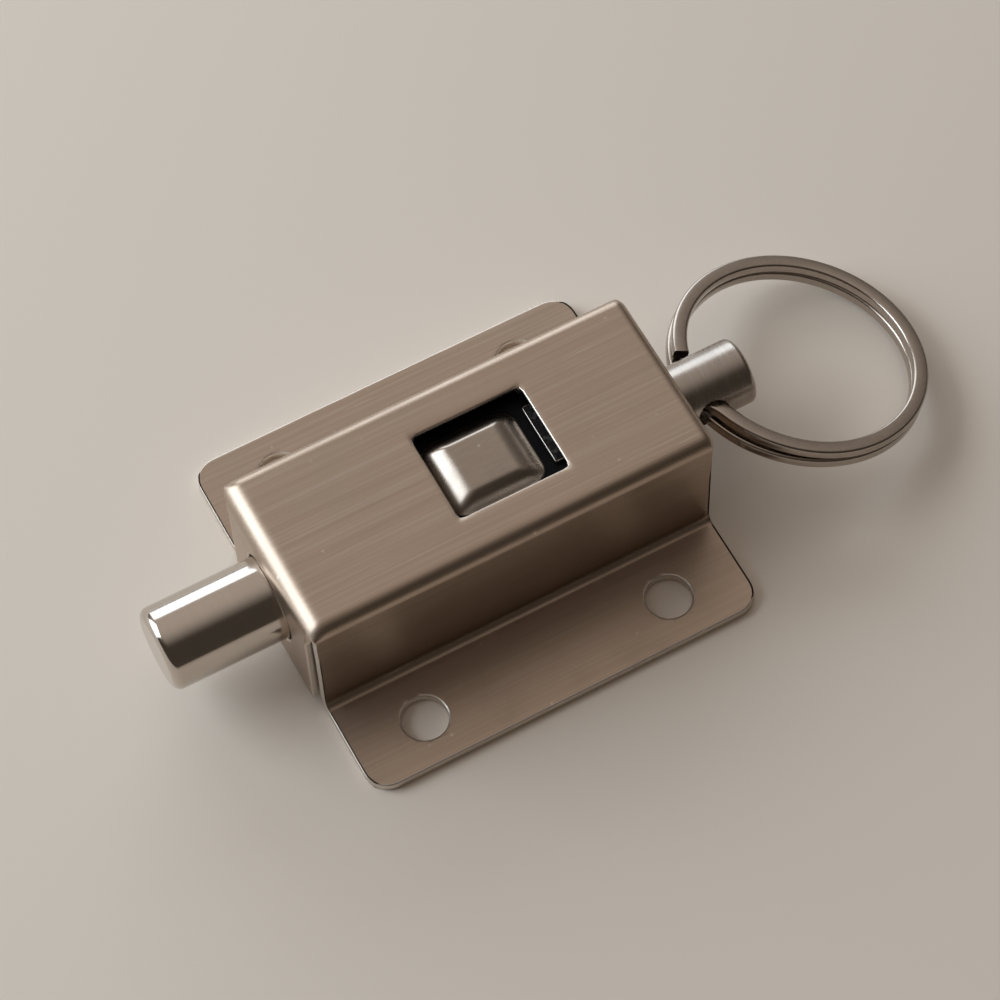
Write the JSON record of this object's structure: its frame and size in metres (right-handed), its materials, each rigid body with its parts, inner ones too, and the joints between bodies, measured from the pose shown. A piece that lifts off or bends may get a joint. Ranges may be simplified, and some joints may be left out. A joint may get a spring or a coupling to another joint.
{
  "type": "spring bolt latch",
  "caption": "Surface-mounted spring bolt latch: a round bolt in a folded steel housing, drawn back by a pull ring and released by a push catch in a window.",
  "frame": {"origin": "middle of the whole latch's outline on the plane of its mounting face", "axes": "+X along the bolt from its tip towards the pull ring, +Z out of the mounting face towards the window"},
  "size_m": [0.0976, 0.0472, 0.0183],
  "materials": {
    "brushed_sheet": "brushed along the length, with fine scratches and rounded bends",
    "polished_bolt": "polished, with faint turning marks",
    "satin_rod": "satin, turned",
    "spring_steel": "drawn wire and rolled strip, slightly dark",
    "satin_catch": "satin, softly polished over the pad",
    "bright_ring": "bright wire with fine handling scratches"
  },
  "bodies": {
    "housing": {"housing": "brushed_sheet", "bolt_spring": "spring_steel", "catch_leaf": "spring_steel"},
    "carriage": {"stop_clip": "spring_steel"},
    "bolt": {"bolt": "polished_bolt", "pull_rod": "satin_rod"},
    "ring": {"split_ring": "bright_ring"},
    "catch": {"catch_button": "satin_catch"}
  },
  "joints": [
    {"name": "bolt_slide", "type": "slide", "parent": "housing", "child": "carriage", "axis": [1, 0, 0], "range_m": [0, 0.013], "stiffness_N_per_m": 600, "springref_m": -0.01, "deforming": ["bolt_spring"]},
    {"name": "bolt_turn", "type": "hinge", "parent": "carriage", "child": "bolt", "pos_m": [-0.03, 0, 0.0095], "axis": [1, 0, 0], "continuous": true},
    {"name": "ring_swing", "type": "hinge", "parent": "bolt", "child": "ring", "pos_m": [0.02014, 0, 0.0095], "axis": [0, 0.9976, -0.0698], "range_deg": [-110, 79]},
    {"name": "catch_press", "type": "hinge", "parent": "housing", "child": "catch", "pos_m": [0.00529, 0, 0.0166], "axis": [0, -1, 0], "range_deg": [0, 1.78], "stiffness_Nm_per_rad": 1.2, "springref_deg": -1.15}
  ]
}
